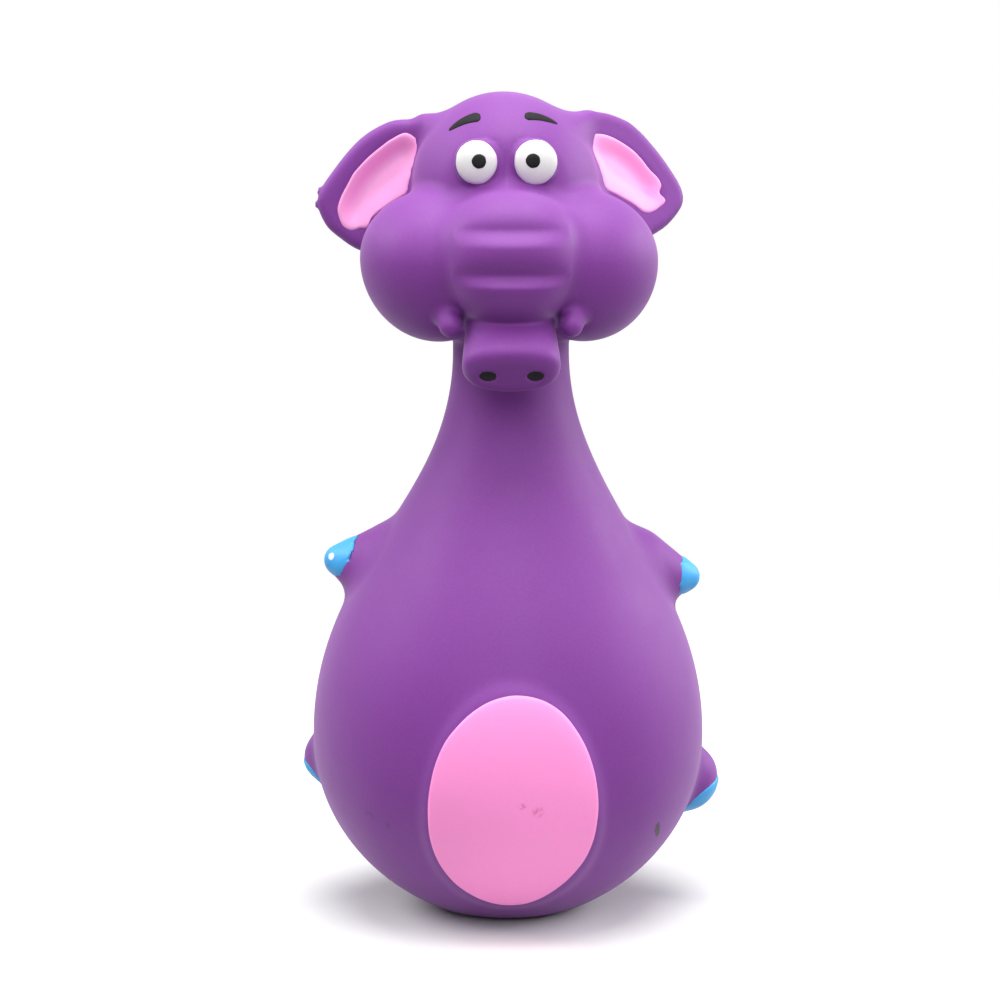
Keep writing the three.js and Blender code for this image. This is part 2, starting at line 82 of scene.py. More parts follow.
# Latex wall; sizes are in millimetres, those of the lamps and floor in metres, and angles in degrees
WALL = 2.4
FLOOR_THICKNESS = 2.6

# Pear-shaped body, a little fuller than the CAD's flat facets: outline points are (radius, height)
BODY_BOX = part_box("body_skin")
BELLY_PAST_FACETS = 0.35
BASE_RADIUS = 13.5
BELLY_RADIUS = (BODY_BOX[1][0] - BODY_BOX[0][0]) / 2 / MM + BELLY_PAST_FACETS
BELLY_HEIGHT = 37.2
NECK_RADIUS = 11.9
NECK_HEIGHT = 117.1
NECK_TOP = 130
LOWER_OUTLINE = ((BASE_RADIUS, 0), (20.5, 2.2), (BELLY_RADIUS, 14), (BELLY_RADIUS, BELLY_HEIGHT))
UPPER_OUTLINE = ((BELLY_RADIUS, BELLY_HEIGHT), (BELLY_RADIUS, 71.9), (NECK_RADIUS, 85.9),
                 (NECK_RADIUS, NECK_HEIGHT))
NECK_SHIFT = 0.6
NECK_SHIFT_SPAN = (70, 100)
PROFILE_STEPS = 240
BASE_ROUND = 1.2

# Raised oval on the belly in a shallow moat, and the outline, (x, z), of the pink painted on it
EGG_HALF_WIDTH = 17.4
EGG_MIDDLE = 27
EGG_TOP = 53.5
EGG_BOTTOM = 6.4
PAD_RAISE = 0.3
PAD_MARGIN = 0.6
PAD_SOFTNESS = 0.9
MOAT_DEPTH = 0.7
MOAT_OUT = 2.3
MOAT_INNER = 2.2
MOAT_OUTER = 7
PATCH = ((0.4, 53.5), (7.4, 51.7), (12.8, 46.1), (16, 38.6), (17.2, 30.4), (16.2, 21.8), (12.9, 15),
         (8, 10.1), (2.8, 7), (-2.8, 7), (-8.4, 9.6), (-13.9, 15.2), (-16.8, 23.6), (-17, 32), (-15, 40.9),
         (-11.2, 46.9), (-5.8, 51.6))
PATCH_STEPS = 8
PATCH_EVENING = 5

# Head, measured from the middle of the jaw
HEAD_HEIGHT = 137
SKULL_RADII = (19.2, 20, 20)
SKULL_OFFSET = (0, 2, 12.8)
SKULL_LEAN = 0.027
CHEEK_RADII = (15.5, 17, 16.6)
CHEEK_RISE = 14
CHEEK_OFFSET = (14.6, -8, -0.5)
JAW_RADII = (15, 17, 16)
JAW_OFFSET = (0, -4, 0)
EYE_RADII = (4.5, 2.3, 4.7)
EYE_OFFSET = (5.9, -15.3, 19.5)
EYE_SHIFT = -0.8
SOCKET_RADII = (8.2, 5, 7)
SOCKET_OFFSET = (6.2, -20.3, 18.6)
TUSK_ROOT = (12.7, -21, -10.6)
TUSK_TIP = (12, -22.9, -12.4)
TUSK_RADII = (2.5, 2.3)

# Muzzle: a barrel crossed by creases: (height, depth, reach of the slope above it, span of the one below)
MUZZLE_OFFSET = (0, -18, 0.2)
MUZZLE_RADII = (14.3, 14.6, 13.8)
MUZZLE_FLARE = 0.1
MUZZLE_POWER = 2.3
MUZZLE_RISE_POWER = 2.15
CREASES = ((6.7, 1.5, 2.3, 3), (-1.7, 1.8, 2.1, 3))
CREASE_ROUND = 0.7
CREASE_HALF_WIDTH = 11.4
CREASE_END_SHARE = 0.45

# Trunk tip: a flat-ended block, oval in section, that droops forward
TIP_HALF_WIDTH = 10
TIP_HALF_HEIGHT = 6.3
TIP_POWER = 2.35
TIP_FLARE = 0.08
TIP_ROUND = 1.6
TIP_LENGTH = 19
TIP_OFFSET = (0, -28.2, -21.8)
TIP_DROOP = 41
NOSTRIL_ACROSS = 4.7
NOSTRIL_DROP = 0.4
NOSTRIL_RADII = (1.75, 1.5)
NOSTRIL_DEPTH = 0.9

# Ears, in their own plane: (along the root line, out from it); the fold lies beyond the head's edge
EAR_THICKNESS = 5
EAR_ROUND = 2.3
DISH_DEPTH = 2.3
DISH_SHALLOW = 0.35
DISH_TILT = 0.35
DISH_SPAN = (-7, 4)
DISH_WALL = 5.5
DISH_MARGIN = 1.1
BURR_RADIUS = 0.7
EARS = {
    "left": {
        "sweep": 33,
        "edge": ((-1.4, 0.6), (-0.4, 4), (2, 7.3), (5.8, 10.4), (12.9, 12.8), (20.6, 14), (24.4, 13),
                 (26.4, 9.4), (27.3, 4), (26, -4), (15, -8), (2, -7)),
        "lining": ((2.8, -3), (3.4, 0.6), (5.7, 3.6), (9.1, 6.1), (11.9, 7.4), (15.1, 8.2), (17.6, 9),
                   (19.2, 8.9), (20.4, 7.8), (22.4, 8.1), (22.9, 6), (22.9, 3.6), (22, 1.9), (19.8, 0.7),
                   (16.8, -1.6), (12.4, -4.9), (7, -5.4), (3.8, -4.9)),
        "burrs": (),
    },
    "right": {
        "sweep": 6,
        "edge": ((-0.1, 1.1), (1.4, 4.2), (4, 8), (9.7, 11.6), (17.7, 13.6), (24.4, 14), (28.4, 10.3),
                 (29.7, 6), (30, 1), (28, -5), (16, -8), (4, -6)),
        "lining": ((22.2, 9.6), (18.9, 9.6), (16, 9.4), (12.4, 8.4), (8.9, 6.9), (6.6, 5.7), (4.3, 3.8),
                   (4.2, 1.4), (4.8, -1.9), (7.8, -3.1), (11.7, -3.2), (14.6, -2.4), (18.5, -0.1),
                   (22.5, 1.9), (25, 2), (25.8, 3.2), (27.1, 4.6), (27, 6.8), (24.7, 9)),
        "burrs": ((22.9, 14.2), (25.7, 13.4)),
    },
}
EAR_FOLD_START = 3.2
EAR_FOLD_TILT = 0.117
EAR_FOLD_LENGTH = 8
EAR_MIDDLE = (14, 6)
EAR_REACH = 26

# Arms and legs: (x, y, z) of the root and tip balls, then their radii
LIMBS = {
    "arm_left": ((25, 3, 70.2), (37, 4.5, 69), 9.8, 2.9),
    "arm_right": ((-23.2, 3, 70.7), (-34.9, 4.5, 72.8), 10.3, 3),
    "leg_left": ((32, 5, 27.6), (37.3, 6.5, 25.8), 8, 7.2),
    "leg_right": ((-31.5, 6, 31), (-37.4, 7.5, 30.4), 7.6, 5.4),
}
LIMB_BLEND = 3

# How softly the forms run together
SKULL_BLEND = 3.2
JAW_BLEND = 4
NECK_BLEND = 3
MUZZLE_BLEND = 2.4
MUZZLE_TOP_BLEND = 3.6
TIP_BLEND = 0.9
NOSTRIL_BLEND = 0.5
TUSK_BLEND = 1.3
SOCKET_BLEND = 4
EYE_BLEND = 1.2
EAR_BLEND = 2
EAR_TOP_BLEND = 7
EAR_TOP_SPAN = (-2, 7)
DISH_BLEND = 1

# Squeaker seat in the base
SEAT_RADIUS = 8.9
SEAT_DEPTH = 1.4
HOLE_RADIUS = 6.1

# Where the skin is parted
PART_HEIGHT = 93

# The skin's mesh: a grid of cells, tried first in coarse blocks, whose vertices are then evened out
CELL = 0.8
COARSE = 4
COARSE_REACH = 1.3
GRID_MARGIN = 3 * CELL
FOLD_REACH = 3 * CELL
SETTLE_ROUNDS = 3
SETTLE_SHARE = 0.5
SLOPE_STEP = 0.05
LEAST_SQUARED_SLOPE = 0.05
TINY = 1e-9
SLACK = 1e-4

# Paint: its thickness, its tuck into the skin, the width of its rounded edge and the rings of points there
PAINT = 0.28
PAINT_TUCK = 0.15
PAINT_EDGE = 0.8
EDGE_RINGS = (0.75, 0.5, 0.3, 0.14, 0.05, 0)

# Hand-painted edges: each one's seed and the size of its waver, and the waves that make it up
BRUSH = {"eye": (3, 0.05), "pupil": (5, 0.03), "ear": (11, 0.05), "belly": (7, 0.08), "hoof": (20, 0.2)}
WAVES = (3, 5, 8, 13, 21)
WAVE_FALL = 0.6

# Rings of points that fill each shape, points round a small one, and steps that draw an ear's edge in
RINGS = {"eye": 12, "pupil": 6, "nostril": 6, "ear": 16, "belly": 26, "hoof": 10}
SMALL_OVAL = 40
DRAW_IN_STEPS = 60

# A brow's stroke: its share of thickness at the inner end, its growth from there, its rows of points
BROW_START_SHARE = 0.45
BROW_GROWTH = 4
BROW_ROWS = 9

# A band of painted shade along an ear dish's shaded wall: its distance inside the paint's edge, and its reach
SHADE_BAND_INSIDE = 1.9
SHADE_BAND_REACH = 1.4

# Where the lines start that carry paint onto the skin: a place before the toy, then distances outside
FRONT_START = -60
EAR_START = 12
HOOF_START = 4
NOSTRIL_START = 6

# Attributes of the pieces that their materials read
# The ear paint's share of painted shade, a deeper pink along the dish's wall
PAINTED_DISH_SHADE = "painted_dish_shade"
REST_PLACE = "rest_place"


# Signed distances: points are rows of x, y, z, and a form is negative inside

def smooth_union(a, b, blend):
    near = np.maximum(blend - np.abs(a - b), 0) / blend
    return np.minimum(a, b) - near * near * blend / 4


def smooth_cut(a, b, blend):
    return -smooth_union(-a, b, blend)


def smooth_step(value):
    t = np.clip(value, 0, 1)
    return t * t * (3 - 2 * t)


def share_of(value, span):
    """How far a value has come from the start of a span to its end."""
    low, high = span
    return (value - low) / (high - low)


def to_left(points):
    """Both sides' points as if on the toy's left."""
    return np.abs(points * (1, 0, 0)) + points * (0, 1, 1)


def ellipsoid(points, centre, radii):
    scaled = (points - centre) / radii
    reach = np.linalg.norm(scaled, axis=1)
    slope = np.linalg.norm(scaled / radii, axis=1)
    return reach * (reach - 1) / np.maximum(slope, TINY)


def round_cone(points, root, tip, root_radius, tip_radius):
    """A ball at the root that tapers to a ball at the tip."""
    axis = np.subtract(tip, root)
    length = np.linalg.norm(axis)
    lean = (root_radius - tip_radius) / length
    offset = points - root
    along = offset @ (axis / length)
    across = np.sqrt(np.maximum((offset * offset).sum(1) - along * along, 0))
    place = np.clip((along - across * lean / math.sqrt(1 - lean * lean)) / length, 0, 1)
    return np.hypot(across, along - place * length) - (root_radius - place * (root_radius - tip_radius))


def polygon_distance(u, v, corners):
    """Signed distance in a plane to a closed outline, negative inside."""
    corners = np.asarray(corners, float)
    nearest = np.full(u.shape, np.inf)
    inside = np.zeros(u.shape, bool)
    for (u0, v0), (u1, v1) in zip(corners, np.roll(corners, -1, axis=0)):
        du, dv = u1 - u0, v1 - v0
        t = np.clip(((u - u0) * du + (v - v0) * dv) / (du * du + dv * dv), 0, 1)
        nearest = np.minimum(nearest, (u - u0 - t * du) ** 2 + (v - v0 - t * dv) ** 2)
        if dv:
            crosses = (v0 > v) != (v1 > v)
            inside ^= crosses & (u < u0 + du * (v - v0) / dv)
    return np.where(inside, -1, 1) * np.sqrt(nearest)


def closed_curve(points, steps=5):
    """A smooth closed outline through a few points."""
    points = np.asarray(points, float)
    before, after, beyond = np.roll(points, 1, 0), np.roll(points, -1, 0), np.roll(points, -2, 0)
    t = np.linspace(0, 1, steps, endpoint=False)[:, None, None]
    curve = 0.5 * (2 * points + (after - before) * t
                   + (2 * before - 5 * points + 4 * after - beyond) * t ** 2
                   + (3 * points - before - 3 * after + beyond) * t ** 3)
    return curve.transpose(1, 0, 2).reshape(-1, 2)


def evened(outline, reach=6):
    """A closed outline without its small wavers."""
    return np.mean([np.roll(outline, k, 0) for k in range(-reach, reach + 1)], axis=0)


# The body

def bezier(points):
    a, b, c, d = np.asarray(points, float)
    t = np.linspace(0, 1, PROFILE_STEPS)[:, None]
    return (1 - t) ** 3 * a + 3 * (1 - t) ** 2 * t * b + 3 * (1 - t) * t ** 2 * c + t ** 3 * d


PEAR = np.vstack([bezier(LOWER_OUTLINE), bezier(UPPER_OUTLINE)[1:]])
PEAR_LEAN = 1 / np.sqrt(1 + np.gradient(PEAR[:, 0], PEAR[:, 1]) ** 2)


def pear(points):
    """The turned body, whose neck stands a little to one side."""
    x, y, height = points.T
    x = x - NECK_SHIFT * smooth_step(share_of(height, NECK_SHIFT_SPAN))
    radius = np.interp(height, PEAR[:, 1], PEAR[:, 0])
    lean = np.interp(height, PEAR[:, 1], PEAR_LEAN)
    wall = (np.hypot(x, y) - radius) * lean
    return np.maximum(wall, height - NECK_TOP)


def egg_distance(x, z):
    reach = np.where(z > EGG_MIDDLE, EGG_TOP - EGG_MIDDLE, EGG_MIDDLE - EGG_BOTTOM)
    return (np.hypot(x / EGG_HALF_WIDTH, (z - EGG_MIDDLE) / reach) - 1) * EGG_HALF_WIDTH


def body_form(points):
    x, y, z = points.T
    outside = egg_distance(x, z)
    pad = PAD_RAISE * smooth_step(0.5 - (outside - PAD_MARGIN) / (2 * PAD_SOFTNESS))
    reach = np.where(outside < MOAT_OUT, MOAT_INNER, MOAT_OUTER)
    moat = MOAT_DEPTH * np.exp(-((outside - MOAT_OUT) / reach) ** 2)
    form = pear(points) - (pad - moat) * (y < 0)
    for limb in LIMBS.values():
        form = smooth_union(form, round_cone(points, *limb), LIMB_BLEND)
    return smooth_cut(form, z, BASE_ROUND)


# The head

def at_head(offset):
    return np.add(offset, (0, 0, HEAD_HEIGHT))


TIP_LEVEL, TIP_FALL = math.cos(math.radians(TIP_DROOP)), math.sin(math.radians(TIP_DROOP))
TIP_FORWARD = np.array((0, -TIP_LEVEL, -TIP_FALL))
TIP_UP = np.array((0, -TIP_FALL, TIP_LEVEL))
TIP_FACE = at_head(TIP_OFFSET)


def tip_form(points):
    offset = points - TIP_FACE
    out = offset @ TIP_FORWARD
    across = np.abs(offset[:, 0]) / (TIP_HALF_WIDTH + TIP_FLARE * np.clip(out, -TIP_LENGTH, 0))
    up = np.abs(offset @ TIP_UP) / TIP_HALF_HEIGHT
    section = ((across ** TIP_POWER + up ** TIP_POWER) ** (1 / TIP_POWER) - 1) * TIP_HALF_HEIGHT
    end = np.maximum(out, -TIP_LENGTH - out)
    block = smooth_cut(section, -end, 2 * TIP_ROUND)
    folded = np.column_stack([np.abs(offset[:, 0]), offset @ TIP_UP, out])
    dimple = ellipsoid(folded, (NOSTRIL_ACROSS, -NOSTRIL_DROP, 0), (*NOSTRIL_RADII, NOSTRIL_DEPTH))
    return smooth_cut(block, dimple, NOSTRIL_BLEND)


def skull_form(points, inset=0):
    """Skull, cheeks and jaw, drawn in all round by the inset."""
    leant = points + np.multiply.outer(SKULL_LEAN * (points[:, 2] - HEAD_HEIGHT), (1, 0, 0))
    skull = ellipsoid(leant, at_head(SKULL_OFFSET), SKULL_RADII)
    squashed = to_left(leant) - at_head(CHEEK_OFFSET)
    squashed[:, 2] *= np.where(squashed[:, 2] > 0, CHEEK_RADII[2] / CHEEK_RISE, 1)
    cheek = ellipsoid(squashed, 0, CHEEK_RADII)
    jaw = ellipsoid(points, at_head(JAW_OFFSET), JAW_RADII)
    return smooth_union(smooth_union(skull, cheek, SKULL_BLEND), jaw, JAW_BLEND) + inset


def muzzle_form(points):
    x, y, z = (points - at_head(MUZZLE_OFFSET)).T
    half_width, depth, half_height = MUZZLE_RADII
    across = np.abs(x) / (half_width + MUZZLE_FLARE * np.clip(z, -half_height, half_height))
    ring = across ** MUZZLE_POWER + np.abs(y / depth) ** MUZZLE_POWER
    section = ring ** (MUZZLE_RISE_POWER / MUZZLE_POWER)
    level = (section + np.abs(z / half_height) ** MUZZLE_RISE_POWER) ** (1 / MUZZLE_RISE_POWER)
    fade = np.maximum(1 - (x / CREASE_HALF_WIDTH) ** 2, 0)
    form = (level - 1) * half_width
    for height, deep, slope_reach, below in CREASES:
        above = points[:, 2] - HEAD_HEIGHT - height
        reach = slope_reach * (CREASE_END_SHARE + (1 - CREASE_END_SHARE) * fade)
        falling = np.exp((CREASE_ROUND - np.hypot(above, CREASE_ROUND)) / reach)
        rising = 1 - smooth_step(-above / below)
        form = form + deep * fade * np.where(above > 0, falling, rising) * (y < 0)
    return form


def face_form(points):
    eyed = to_left(points - (EYE_SHIFT, 0, 0))
    form = smooth_cut(skull_form(points), ellipsoid(eyed, at_head(SOCKET_OFFSET), SOCKET_RADII), SOCKET_BLEND)
    share = smooth_step((points[:, 2] - at_head(MUZZLE_OFFSET)[2]) / MUZZLE_RADII[2])
    form = smooth_union(form, muzzle_form(points), MUZZLE_BLEND + (MUZZLE_TOP_BLEND - MUZZLE_BLEND) * share)
    form = smooth_union(form, ellipsoid(eyed, at_head(EYE_OFFSET), EYE_RADII), EYE_BLEND)
    tusk = round_cone(to_left(points), at_head(TUSK_ROOT), at_head(TUSK_TIP), *TUSK_RADII)
    form = smooth_union(form, tip_form(points), TIP_BLEND)
    return smooth_union(form, tusk, TUSK_BLEND)


# The ears

class EarFrame:
    """An ear's own directions: along its root line, out from it and to its front."""

    def __init__(self, name):
        joint = JOINTS[name + "_ear_bend"]
        shape = EARS[name]
        sign = SIDES[name]
        self.body = name + "_ear"
        self.top = np.array(joint["pos_m"]) / MM
        self.along = np.array(joint["axis"]) * sign
        flat_out = np.cross((0, -1, 0), self.along) * sign
        sweep = math.radians(shape["sweep"])
        self.out = math.cos(sweep) * flat_out + math.sin(sweep) * np.array((0, 1, 0))
        self.front = math.cos(sweep) * np.array((0, -1, 0)) + math.sin(sweep) * flat_out
        self.edge = closed_curve(shape["edge"])
        self.lining = closed_curve(shape["lining"])
        self.lining_top = self.lining[:, 0].min()
        self.across_fold = self.out - EAR_FOLD_TILT * self.along
        self.dish_edge = evened(self.lining)
        self.burrs = shape["burrs"]

    def local(self, points):
        offset = points - self.top
        return offset @ self.along, offset @ self.out, offset @ self.front

    def world(self, along, out, front):
        return (self.top + np.multiply.outer(along, self.along) + np.multiply.outer(out, self.out)
                + np.multiply.outer(front, self.front))

    def beyond_fold(self, points):
        along, out, _ = self.local(points)
        return out - EAR_FOLD_START - EAR_FOLD_TILT * (along - self.lining_top)

    def fold_point(self, along):
        return self.world(along, EAR_FOLD_START + EAR_FOLD_TILT * (along - self.lining_top), 0)

    def near(self, points):
        return np.linalg.norm(points - self.world(*EAR_MIDDLE, 0), axis=1) < EAR_REACH

    def form(self, points):
        along, out, front = self.local(points)
        inward = polygon_distance(along, out, self.edge) + EAR_ROUND
        through = np.abs(front) - EAR_THICKNESS / 2 + EAR_ROUND
        flap = (np.minimum(np.maximum(inward, through), 0)
                + np.hypot(np.maximum(inward, 0), np.maximum(through, 0)) - EAR_ROUND)
        for burr_along, burr_out in self.burrs:
            burr = np.sqrt((along - burr_along) ** 2 + (out - burr_out) ** 2 + front ** 2) - BURR_RADIUS
            flap = smooth_union(flap, burr, BURR_RADIUS)
        inside = -polygon_distance(along, out, self.dish_edge)
        face = EAR_THICKNESS / 2 - self.dish(along, out) * smooth_step((inside + DISH_MARGIN) / DISH_WALL)
        return smooth_cut(flap, face - front, DISH_BLEND)

    def blend(self, points):
        """The ear runs more softly into the head at the top of its root."""
        share = smooth_step(share_of(self.local(points)[0], EAR_TOP_SPAN))
        return EAR_TOP_BLEND + (EAR_BLEND - EAR_TOP_BLEND) * share

    def dish(self, along, out):
        """How deep the dish is: deepest along its outer, upper wall."""
        share = np.clip(share_of(out - DISH_TILT * along, DISH_SPAN), 0, 1)
        return DISH_DEPTH * (DISH_SHALLOW + (1 - DISH_SHALLOW) * share)


EAR_FRAMES = {name: EarFrame(name) for name in SIDES}


# The whole skin, and the hollow in it

def head_with_ears(points):
    form = face_form(points)
    for ear in EAR_FRAMES.values():
        near = ear.near(points)
        form[near] = smooth_union(form[near], ear.form(points[near]), ear.blend(points[near]))
    return form


def outer(points):
    form = body_form(points)
    high = points[:, 2] > PART_HEIGHT
    form[high] = smooth_union(form[high], head_with_ears(points[high]), NECK_BLEND)
    return form


def hollow(points):
    body = np.maximum(pear(points) + WALL, FLOOR_THICKNESS - points[:, 2])
    high = points[:, 2] > PART_HEIGHT
    body[high] = smooth_union(body[high], skull_form(points[high], WALL), NECK_BLEND)
    return body


def seat(points):
    across = np.hypot(points[:, 0], points[:, 1])
    recess = np.maximum(across - SEAT_RADIUS, points[:, 2] - SEAT_DEPTH)
    hole = np.maximum(across - HOLE_RADIUS, points[:, 2] - 2 * FLOOR_THICKNESS)
    return np.minimum(recess, hole)


def skin(points):
    return np.maximum(np.maximum(outer(points), -hollow(points)), -seat(points))


def slope(form, points):
    steps = np.eye(3) * SLOPE_STEP
    return np.column_stack([form(points + s) - form(points - s) for s in steps]) / (2 * SLOPE_STEP)


def put_on(form, points, rounds=3):
    """Moves points onto a form's surface."""
    for _ in range(rounds):
        rise = slope(form, points)
        steepness = np.maximum((rise * rise).sum(1), LEAST_SQUARED_SLOPE)
        step = form(points)[:, None] * rise / steepness[:, None]
        points = points - np.clip(step, -CELL, CELL)
    return points


def normals_of(form, points):
    rise = slope(form, points)
    return rise / np.maximum(np.linalg.norm(rise, axis=1), TINY)[:, None]


# Meshing

def sample(form, low, high):
    """The form on a fine grid, worked out only near its surface."""
    block = CELL * COARSE
    counts = np.ceil((np.asarray(high) - low) / block).astype(int)
    centres = [low[a] + block * (np.arange(counts[a]) + 0.5) - CELL / 2 for a in range(3)]
    values = form(np.stack(np.meshgrid(*centres, indexing="ij"), -1).reshape(-1, 3)).reshape(counts)
    for axis in range(3):
        values = np.repeat(values, COARSE, axis)
    close = np.argwhere(np.abs(values) < COARSE_REACH * block)
    values[tuple(close.T)] = form(low + CELL * close)
    return values


def surface_net(values, low):
    """One vertex in each grid cell that the surface crosses, and a quad round each crossed edge."""
    inside = values < 0
    size = np.array(values.shape)
    corners = np.array([(i, j, k) for i in (0, 1) for j in (0, 1) for k in (0, 1)])
    filled = sum(inside[i:size[0] - 1 + i, j:size[1] - 1 + j, k:size[2] - 1 + k].astype(int)
                 for i, j, k in corners)
    crossed = (filled > 0) & (filled < len(corners))
    cells = np.argwhere(crossed)
    number = np.full(crossed.shape, -1)
    number[crossed] = np.arange(len(cells))
    at = [values[tuple((cells + corner).T)] for corner in corners]
    total, hits = np.zeros((len(cells), 3)), np.zeros(len(cells))
    for a in range(len(corners)):
        for b in range(a + 1, len(corners)):
            if np.abs(corners[a] - corners[b]).sum() == 1:
                hit = (at[a] < 0) != (at[b] < 0)
                share = at[a][hit] / (at[a][hit] - at[b][hit])
                total[hit] += corners[a] + share[:, None] * (corners[b] - corners[a])
                hits[hit] += 1
    quads = []
    for axis in range(3):
        step, u, v = np.eye(3, dtype=int)[[axis, (axis + 1) % 3, (axis + 2) % 3]]
        ends = tuple(slice(0, size[a] - step[a]) for a in range(3))
        starts = tuple(slice(step[a], size[a]) for a in range(3))
        edge = np.argwhere(inside[ends] != inside[starts])
        ring = np.stack([number[tuple((edge - du * u - dv * v).T)]
                         for du, dv in ((1, 1), (0, 1), (0, 0), (1, 0))], 1)
        below = inside[tuple(edge.T)]
        quads.append(np.where(below[:, None], ring, ring[:, ::-1]))
    return low + CELL * (cells + total / hits[:, None]), np.vstack(quads)


def settle(form, vertices, quads):
    """Evens a mesh out along the surface, with each vertex back on it."""
    pairs = np.vstack([quads[:, [a, (a + 1) % 4]] for a in range(4)])
    here, there = np.vstack([pairs, pairs[:, ::-1]]).T
    count = np.bincount(here, minlength=len(vertices))[:, None]
    for _ in range(SETTLE_ROUNDS):
        totals = [np.bincount(here, vertices[there, a], len(vertices)) for a in range(3)]
        mean = np.column_stack(totals) / count
        vertices = put_on(form, vertices + SETTLE_SHARE * (mean - vertices), 2)
    return vertices


def add_object(name, data):
    obj = bpy.data.objects.new(name, data)
    bpy.context.scene.collection.objects.link(obj)
    return obj


def make_object(name, vertices, faces):
    mesh = bpy.data.meshes.new(name)
    mesh.from_pydata((np.asarray(vertices) * MM).tolist(), [], faces)
    mesh.validate()
    return add_object(name, mesh)


def cut(whole, faces, point, square):
    edges = {edge for face in faces for edge in face.edges}
    corners = {vertex for face in faces for vertex in face.verts}
    bmesh.ops.bisect_plane(whole, geom=[*faces, *edges, *corners], dist=SLACK,
                           plane_co=Vector(point), plane_no=Vector(square).normalized())


def on_ear(ear, points):
    near = ear.near(points)
    chosen = np.zeros(len(points), bool)
    chosen[near] = ear.form(points[near]) < face_form(points[near])
    return chosen


def sculpt():
    """The skin's vertices and faces, cut along the lines where it is parted."""
    low = np.array(cad_box[0]) / MM - GRID_MARGIN
    high = np.array(cad_box[1]) / MM + GRID_MARGIN
    vertices, quads = surface_net(sample(skin, low, high), low)
    vertices = settle(skin, vertices, quads)
    whole = bmesh.new()
    corners = [whole.verts.new(v) for v in vertices]
    for quad in quads:
        whole.faces.new([corners[i] for i in quad])
    cut(whole, whole.faces[:], (0, 0, PART_HEIGHT), (0, 0, 1))
    for ear in EAR_FRAMES.values():
        middles = np.array([face.calc_center_median() for face in whole.faces])
        mine = on_ear(ear, middles) & (np.abs(ear.beyond_fold(middles)) < FOLD_REACH)
        crossing = [face for face, chosen in zip(whole.faces, mine) if chosen]
        cut(whole, crossing, ear.fold_point(ear.lining_top), ear.across_fold)
    vertices = np.array([v.co for v in whole.verts])
    whole.verts.index_update()
    faces = [[v.index for v in face.verts] for face in whole.faces]
    whole.free()
    return vertices, faces


def piece_of_skin(name, vertices, faces):
    """A parted piece with its cut edges closed, shaded as the whole skin is."""
    used = np.unique(np.concatenate(faces))
    renumber = np.zeros(len(vertices), int)
    renumber[used] = np.arange(len(used))
    obj = make_object(name, vertices[used], [renumber[face].tolist() for face in faces])
    closed = bmesh.new()
    closed.from_mesh(obj.data)
    for face in closed.faces:
        face.smooth = True
    rim = [edge for edge in closed.edges if edge.is_boundary]
    middles = np.array([(edge.verts[0].co + edge.verts[1].co) / 2 for edge in rim]) / MM
    level = np.abs(middles[:, 2] - PART_HEIGHT) < CELL / 4
    for here in (level, ~level & (middles[:, 0] > 0), ~level & (middles[:, 0] < 0)):
        edges = [edge for edge, chosen in zip(rim, here) if chosen]
        filled = bmesh.ops.triangle_fill(closed, use_beauty=True, edges=edges)["geom"] if edges else []
        for face in filled:
            face.smooth = False
    bmesh.ops.recalc_face_normals(closed, faces=closed.faces)
    closed.to_mesh(obj.data)
    closed.free()
    smooth = normals_of(skin, vertices[used])
    corner_normals = []
    for face in obj.data.polygons:
        if face.use_smooth:
            corner_normals.extend(smooth[i] for i in face.vertices)
        else:
            corner_normals.extend(face.normal for _ in face.vertices)
    obj.data.normals_split_custom_set([tuple(n) for n in corner_normals])
    return obj


# Paint: a thin closed layer on the skin, over points drawn in a plane and carried onto it

def on_skin(tree, starts, direction):
    """Where lines from the starts first meet the skin."""
    found = []
    for start, way in zip(starts, np.broadcast_to(direction, starts.shape)):
        hit = tree.ray_cast(Vector(start), Vector(way))[0]
        found.append(hit if hit is not None else Vector(start))
    return put_on(outer, np.array(found))


def layer(name, surface, faces, inward, lift=0.0):
    """inward is each point's distance from the layer's edge, which is rounded down into the skin."""
    normals = normals_of(outer, surface)
    crown = np.sqrt(1 - (1 - np.clip(inward / PAINT_EDGE, 0, 1)) ** 2)
    top = surface + normals * (lift + (PAINT + PAINT_TUCK) * crown - PAINT_TUCK)[:, None]
    bottom = surface + normals * (lift - PAINT_TUCK)
    count = len(surface)
    obj = make_object(name, np.vstack([top, bottom]), faces + [[i + count for i in f[::-1]] for f in faces])
    solid = bmesh.new()
    solid.from_mesh(obj.data)
    bmesh.ops.remove_doubles(solid, verts=solid.verts, dist=SLACK * MM)
    bmesh.ops.recalc_face_normals(solid, faces=solid.faces)
    for face in solid.faces:
        face.smooth = True
    solid.to_mesh(obj.data)
    solid.free()
    return obj


def disc(outline, rings):
    """Points and faces that fill an outline from its middle, with each point's distance from the edge."""
    outline = np.asarray(outline, float)
    middle = outline.mean(0)
    size = np.linalg.norm(outline - middle, axis=1).mean()
    edge = PAINT_EDGE / size
    shares = np.concatenate([np.linspace(0, 1 - edge, rings)[1:], 1 - edge * np.array(EDGE_RINGS)])
    count = len(outline)
    points = [middle[None]] + [middle + share * (outline - middle) for share in shares]
    inward = np.concatenate([[size]] + [np.full(count, (1 - share) * size) for share in shares])
    faces = [[0, 1 + i, 1 + (i + 1) % count] for i in range(count)]
    for ring in range(len(shares) - 1):
        start = 1 + ring * count
        faces += [[start + i, start + count + i, start + count + (i + 1) % count, start + (i + 1) % count]
                  for i in range(count)]
    return np.vstack(points), faces, inward


